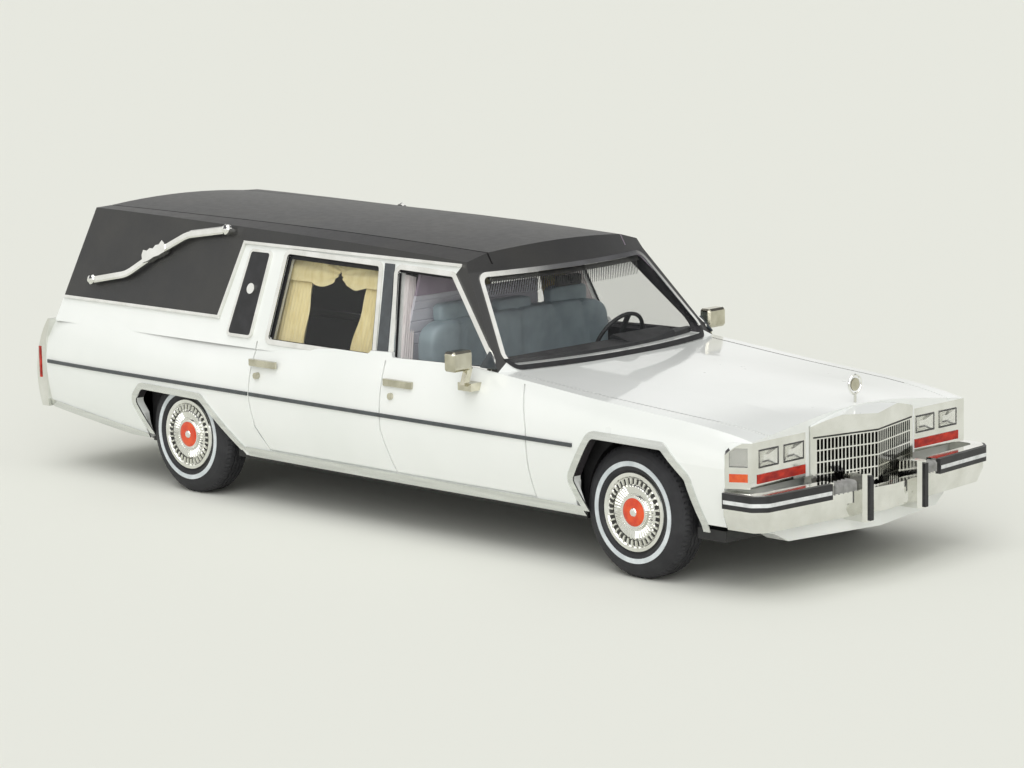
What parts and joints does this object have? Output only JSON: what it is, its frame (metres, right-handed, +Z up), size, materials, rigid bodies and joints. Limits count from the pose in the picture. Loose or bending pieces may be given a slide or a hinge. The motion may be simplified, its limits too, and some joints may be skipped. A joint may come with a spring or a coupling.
{
  "type": "scale model hearse",
  "caption": "Scale model of a long white hearse with a black landau roof, bright trim and wheels that turn on two axles.",
  "frame": {"origin": "middle of the footprint, on the floor under the tyres", "axes": "+X towards the nose, +Y to the car's left, +Z up"},
  "size_m": [0.1442, 0.0518, 0.0391],
  "materials": {
    "amber_lens": "transparent amber",
    "black_roof": "satin black",
    "black_trim": "black enamel",
    "bright_trim": "bright plated",
    "chassis_black": "satin black moulding",
    "drape": "cream moulding",
    "floor_grey": "dark moulding",
    "grey_trim": "dark grey enamel",
    "lens": "clear moulded lens",
    "orange_disc": "orange-red enamel",
    "red_lens": "transparent red",
    "seat_grey": "blue-grey moulding",
    "steel": "drawn steel",
    "tyre": "matt black rubber",
    "white_paint": "gloss white lacquer",
    "whitewall": "printed white ring",
    "window": "clear moulded"
  },
  "bodies": {
    "body": {"arch_trims": "bright_trim", "body_shell": "white_paint", "bumper_guards": "bright_trim", "bumper_strips": "black_trim", "cabin_floor": "floor_grey", "cabin_mirror": "chassis_black", "chassis": "chassis_black", "curtains": "drape", "dashboard": "chassis_black", "door_handles": "bright_trim", "door_mirrors": "bright_trim", "front_bumper": "bright_trim", "front_seat": "seat_grey", "front_valance": "white_paint", "grille": "bright_trim", "grille_backing": "chassis_black", "guard_pads": "black_trim", "headlamp_lenses": "lens", "hood_ornament": "bright_trim", "lamp_housings": "bright_trim", "landau_bars": "bright_trim", "load_deck": "floor_grey", "opera_buttons": "bright_trim", "opera_frames": "bright_trim", "opera_panels": "black_trim", "partition": "floor_grey", "pillar_strips": "grey_trim", "quarter_triangles": "grey_trim", "rear_bumper": "bright_trim", "rear_bumper_strips": "black_trim", "rear_plate": "white_paint", "rear_window": "window", "rear_window_trim": "bright_trim", "roof_beads": "bright_trim", "roof_shell": "black_roof", "side_lamp_lenses": "lens", "side_marker_lenses": "amber_lens", "side_stripes": "grey_trim", "side_windows": "window", "signal_lenses": "red_lens", "sill_trims": "bright_trim", "steering_wheel": "chassis_black", "tail_bezels": "bright_trim", "tail_lenses": "red_lens", "tailgate_handle": "bright_trim", "window_frames": "bright_trim", "windscreen": "window", "windscreen_trim": "bright_trim"},
    "front_wheels": {"front_axle": "steel", "front_hub_discs": "orange_disc", "front_tyres": "tyre", "front_wheels": "bright_trim", "front_whitewalls": "whitewall"},
    "rear_wheels": {"rear_axle": "steel", "rear_hub_discs": "orange_disc", "rear_tyres": "tyre", "rear_wheels": "bright_trim", "rear_whitewalls": "whitewall"}
  },
  "joints": [
    {"name": "front_axle_spin", "type": "hinge", "parent": "body", "child": "front_wheels", "pos_m": [0.0473, 0, 0.0084], "axis": [0, 1, 0], "continuous": true},
    {"name": "rear_axle_spin", "type": "hinge", "parent": "body", "child": "rear_wheels", "pos_m": [-0.0381, 0, 0.0084], "axis": [0, 1, 0], "continuous": true}
  ]
}
